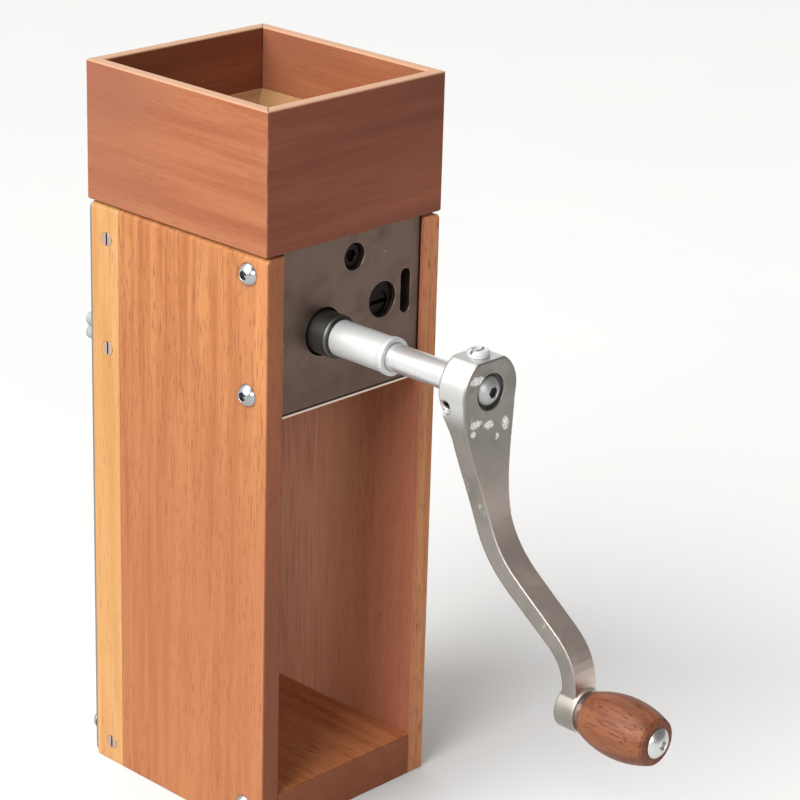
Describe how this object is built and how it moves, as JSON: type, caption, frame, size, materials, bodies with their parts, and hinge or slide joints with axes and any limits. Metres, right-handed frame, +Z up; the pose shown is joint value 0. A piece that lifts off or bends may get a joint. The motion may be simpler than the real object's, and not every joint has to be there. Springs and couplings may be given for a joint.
{
  "type": "malt mill",
  "caption": "Hand-cranked roller mill for malt: tall wooden body open in front, hopper on top, fluted rollers with an eccentric gap setting, and a curved crank.",
  "frame": {"origin": "centre of the underside of the wooden body, on the surface it stands on", "axes": "+Z up; X to the right seen from the front; the drive shaft and the crank point along -Y, which is the front"},
  "size_m": [0.1086, 0.3175, 0.333],
  "materials": {
    "board_wood": "oiled, open grain",
    "stave_wood": "oiled, open grain",
    "base_wood": "oiled",
    "hopper_wood": "oiled, reddish",
    "funnel_wood": "plain",
    "plate_steel": "satin grey-brown",
    "guide_sheet": "mill finish",
    "cover_sheet": "satin",
    "bright_bolts": "polished",
    "plain_screws": "zinc",
    "roller_steel": "fluted, ground",
    "bush_bronze": "machined",
    "dark_steel": "blackened",
    "turned_steel": "bright turned",
    "sleeve_metal": "fine turned",
    "crank_steel": "satin, handled",
    "knob_wood": "turned, varnished",
    "knob_plastic": "light grey"
  },
  "bodies": {
    "root": {"left_side_board": "board_wood", "right_side_board": "board_wood", "left_rear_stave": "stave_wood", "right_rear_stave": "stave_wood", "base_board": "base_wood", "hopper_front_wall": "hopper_wood", "hopper_back_wall": "hopper_wood", "hopper_left_wall": "hopper_wood", "hopper_right_wall": "hopper_wood", "hopper_floor": "funnel_wood", "funnel_left": "funnel_wood", "funnel_right": "funnel_wood", "funnel_front": "funnel_wood", "funnel_back": "funnel_wood", "front_end_plate": "plate_steel", "rear_end_plate": "plate_steel", "left_grain_guide": "guide_sheet", "right_grain_guide": "guide_sheet", "back_cover": "cover_sheet", "side_bolts": "bright_bolts", "cover_screws": "bright_bolts", "rear_side_screws": "plain_screws", "hopper_screws": "plain_screws", "drive_bush_front": "bush_bronze", "drive_bush_rear": "bush_bronze", "tie_screws": "dark_steel", "tie_rod": "turned_steel"},
    "drive": {"drive_roller": "roller_steel", "drive_spacer": "bush_bronze", "drive_collar": "dark_steel", "coupling_sleeve": "sleeve_metal", "sleeve_grub_screws": "plain_screws", "drive_rod": "turned_steel", "crank_arm": "crank_steel", "crank_clamp_screw": "plain_screws", "crank_grub_screw": "plain_screws", "crank_washer": "dark_steel", "crank_end_screw": "turned_steel", "knob_spindle": "turned_steel"},
    "knob": {"crank_knob": "knob_wood"},
    "gap_setting": {"gap_axle": "dark_steel", "eccentric_front": "dark_steel", "eccentric_rear": "dark_steel", "gap_arm": "turned_steel", "gap_pin": "dark_steel"},
    "idler": {"idler_roller": "roller_steel", "idler_bushes": "bush_bronze"},
    "star_left": {"cover_knob_left": "knob_plastic", "cover_stud_left": "plain_screws"},
    "star_right": {"cover_knob_right": "knob_plastic", "cover_stud_right": "plain_screws"}
  },
  "joints": [
    {"name": "crank_turn", "type": "hinge", "parent": "root", "child": "drive", "pos_m": [-0.0165, 0, 0.231], "axis": [0, -1, 0], "continuous": true},
    {"name": "knob_turn", "type": "hinge", "parent": "drive", "child": "knob", "pos_m": [-0.0165, -0.225, 0.11001], "axis": [0, -1, 0], "continuous": true},
    {"name": "gap_adjust", "type": "hinge", "parent": "root", "child": "gap_setting", "pos_m": [0.0185, 0, 0.2375], "axis": [0, -1, 0], "range_deg": [-20, 20]},
    {"name": "idler_turn", "type": "hinge", "parent": "gap_setting", "child": "idler", "pos_m": [0.0185, 0, 0.2357], "axis": [0, -1, 0], "continuous": true},
    {"name": "cover_knob_left_turn", "type": "hinge", "parent": "root", "child": "star_left", "pos_m": [-0.036, 0.06, 0.2075], "axis": [0, 1, 0], "continuous": true},
    {"name": "cover_knob_right_turn", "type": "hinge", "parent": "root", "child": "star_right", "pos_m": [0.036, 0.06, 0.2075], "axis": [0, 1, 0], "continuous": true}
  ],
  "couplings": [
    {"joint": "idler_turn", "follows": "crank_turn", "ratio": -1}
  ]
}
